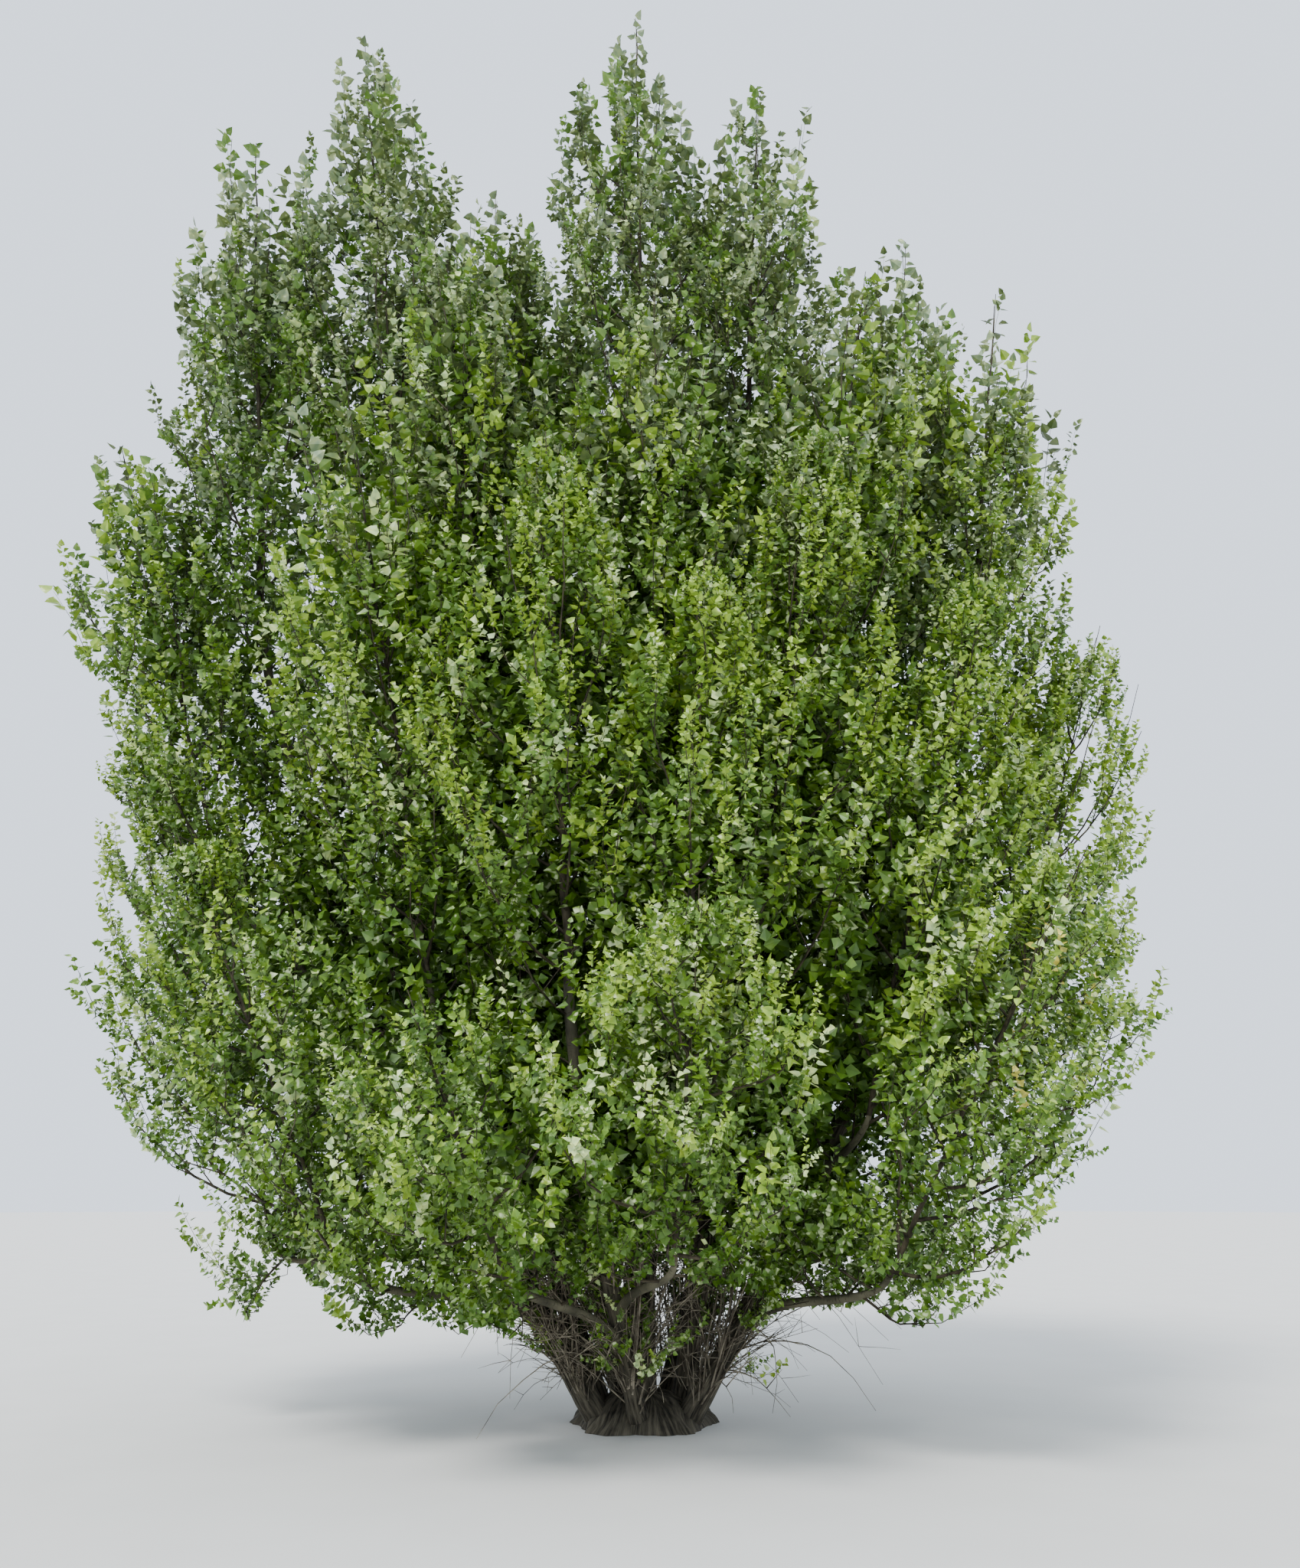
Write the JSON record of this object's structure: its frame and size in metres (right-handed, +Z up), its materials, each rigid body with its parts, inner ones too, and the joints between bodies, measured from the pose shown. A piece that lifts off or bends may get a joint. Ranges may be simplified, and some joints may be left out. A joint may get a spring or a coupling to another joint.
{
  "type": "multi-stemmed poplar tree",
  "caption": "Open-grown poplar: upright stems from a shared stool under a broad crown of pointed, leafy masses.",
  "frame": {"origin": "middle of the flat cut under the stool, at ground level", "axes": "+Z up, -Y towards the side shown in the picture, +X to that side's right"},
  "size_m": [8.7706, 6.5409, 13.1],
  "materials": {
    "bark": "rough, furrowed",
    "foliage_dark": "matt leaves in shade",
    "foliage_mid": "satin leaves",
    "foliage_light": "satin young leaves"
  },
  "bodies": {
    "root": {"stool": "bark", "stem_centre": "bark", "stem_left_high": "bark", "stem_left_outer": "bark", "stem_right_high": "bark", "stem_right_outer": "bark", "stem_back_left": "bark", "stem_back_right": "bark", "stem_front": "bark", "bough_left_inner": "bark", "bough_right_mid": "bark", "bough_mid_left": "bark", "bough_mid_right": "bark", "bough_mid_front": "bark", "bough_far_left": "bark", "bough_low_left": "bark", "bough_low_left_front": "bark", "bough_low_left_back": "bark", "bough_front_left": "bark", "bough_front_mid": "bark", "bough_front_right": "bark", "bough_right_front": "bark", "bough_low_front": "bark", "bough_low_front_left": "bark", "bough_low_right_front": "bark", "bough_low_right": "bark", "bough_low_right_back": "bark", "bough_low_back_left": "bark", "bough_low_back": "bark", "bough_back_mid": "bark", "foliage_centre": "foliage_mid", "foliage_left_high": "foliage_light", "foliage_left_outer": "foliage_dark", "foliage_right_high": "foliage_mid", "foliage_right_outer": "foliage_light", "foliage_back_left": "foliage_dark", "foliage_back_right": "foliage_mid", "foliage_front": "foliage_light", "foliage_left_inner": "foliage_dark", "foliage_right_mid": "foliage_mid", "foliage_mid_left": "foliage_light", "foliage_mid_right": "foliage_dark", "foliage_mid_front": "foliage_mid", "foliage_far_left": "foliage_light", "foliage_low_left": "foliage_dark", "foliage_low_left_front": "foliage_mid", "foliage_low_left_back": "foliage_light", "foliage_front_left": "foliage_dark", "foliage_front_mid": "foliage_mid", "foliage_front_right": "foliage_light", "foliage_right_front": "foliage_dark", "foliage_low_front": "foliage_mid", "foliage_low_front_left": "foliage_light", "foliage_low_right_front": "foliage_dark", "foliage_low_right": "foliage_mid", "foliage_low_right_back": "foliage_light", "foliage_low_back_left": "foliage_dark", "foliage_low_back": "foliage_mid", "foliage_back_mid": "foliage_light"}
  },
  "joints": []
}
